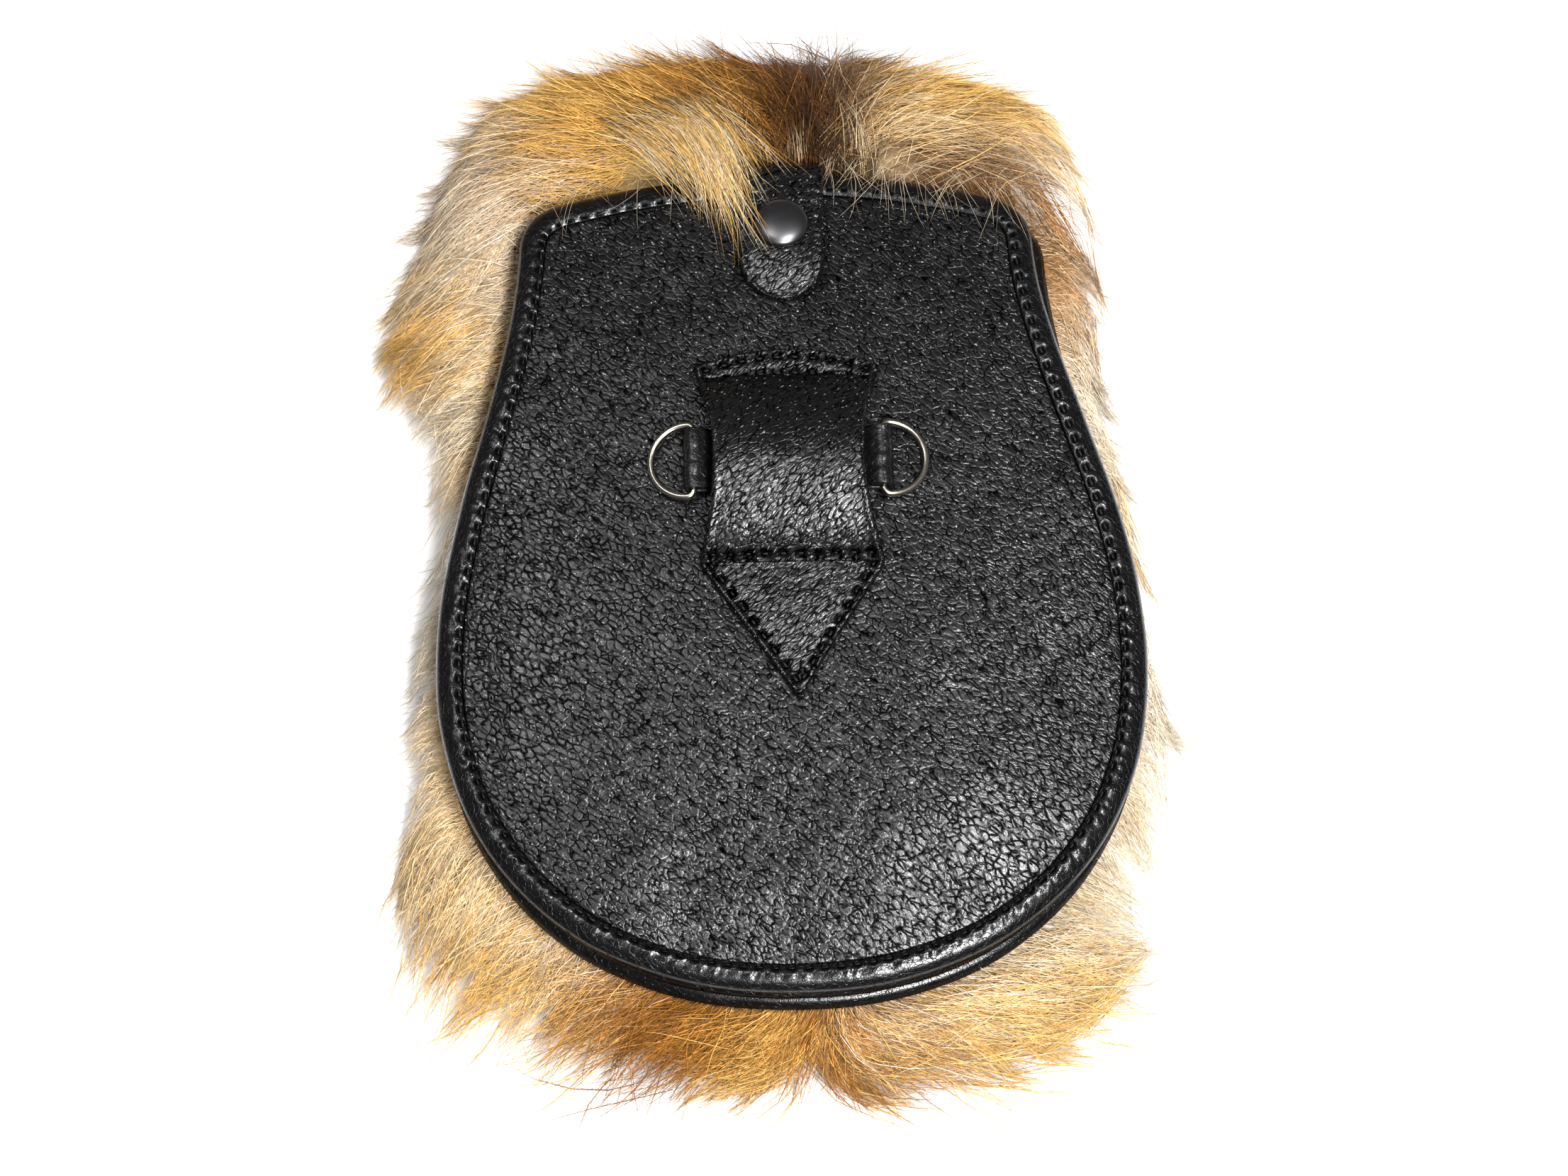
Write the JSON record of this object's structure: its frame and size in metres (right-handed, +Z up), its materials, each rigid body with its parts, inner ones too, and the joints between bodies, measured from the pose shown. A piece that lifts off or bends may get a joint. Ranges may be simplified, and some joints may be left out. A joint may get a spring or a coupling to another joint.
{
  "type": "sporran pouch",
  "caption": "Leather sporran pouch with a fur front, lying face down: grained black back with a rolled border, snap tab over the mouth, belt loop and swinging D-rings.",
  "frame": {"origin": "centre of the bounding box's bottom, on the surface that the fur rests on", "axes": "+Y along the pouch, from its foot towards its mouth; +Z up, out of the leather back; +X to the right as the back is seen with the mouth at the top"},
  "size_m": [0.2205, 0.3106, 0.0539],
  "materials": {
    "grained_leather": "black pebble-grained leather, satin",
    "smooth_leather": "black smooth leather, semi-gloss",
    "fur": "deep fur, golden with cream and brown patches",
    "nickel_wire": "warm nickel-plated wire",
    "gunmetal": "dark gunmetal plating, satin"
  },
  "bodies": {
    "pouch": {"back_panel": "grained_leather", "back_binding": "smooth_leather", "gusset": "smooth_leather", "front_panel": "grained_leather", "front_binding": "smooth_leather", "fur_pelt": "fur", "closure_tab": "grained_leather", "press_stud": "gunmetal", "belt_loop": "grained_leather", "ring_strap": "smooth_leather"},
    "ring_left": {"d_ring_left": "nickel_wire"},
    "ring_right": {"d_ring_right": "nickel_wire"}
  },
  "joints": [
    {"name": "ring_left_swing", "type": "hinge", "parent": "pouch", "child": "ring_left", "pos_m": [-0.0196, 0.0135, 0.04404], "axis": [0, 1, 0], "range_deg": [0, 120]},
    {"name": "ring_right_swing", "type": "hinge", "parent": "pouch", "child": "ring_right", "pos_m": [0.0324, 0.0135, 0.04404], "axis": [0, -1, 0], "range_deg": [0, 120]}
  ]
}
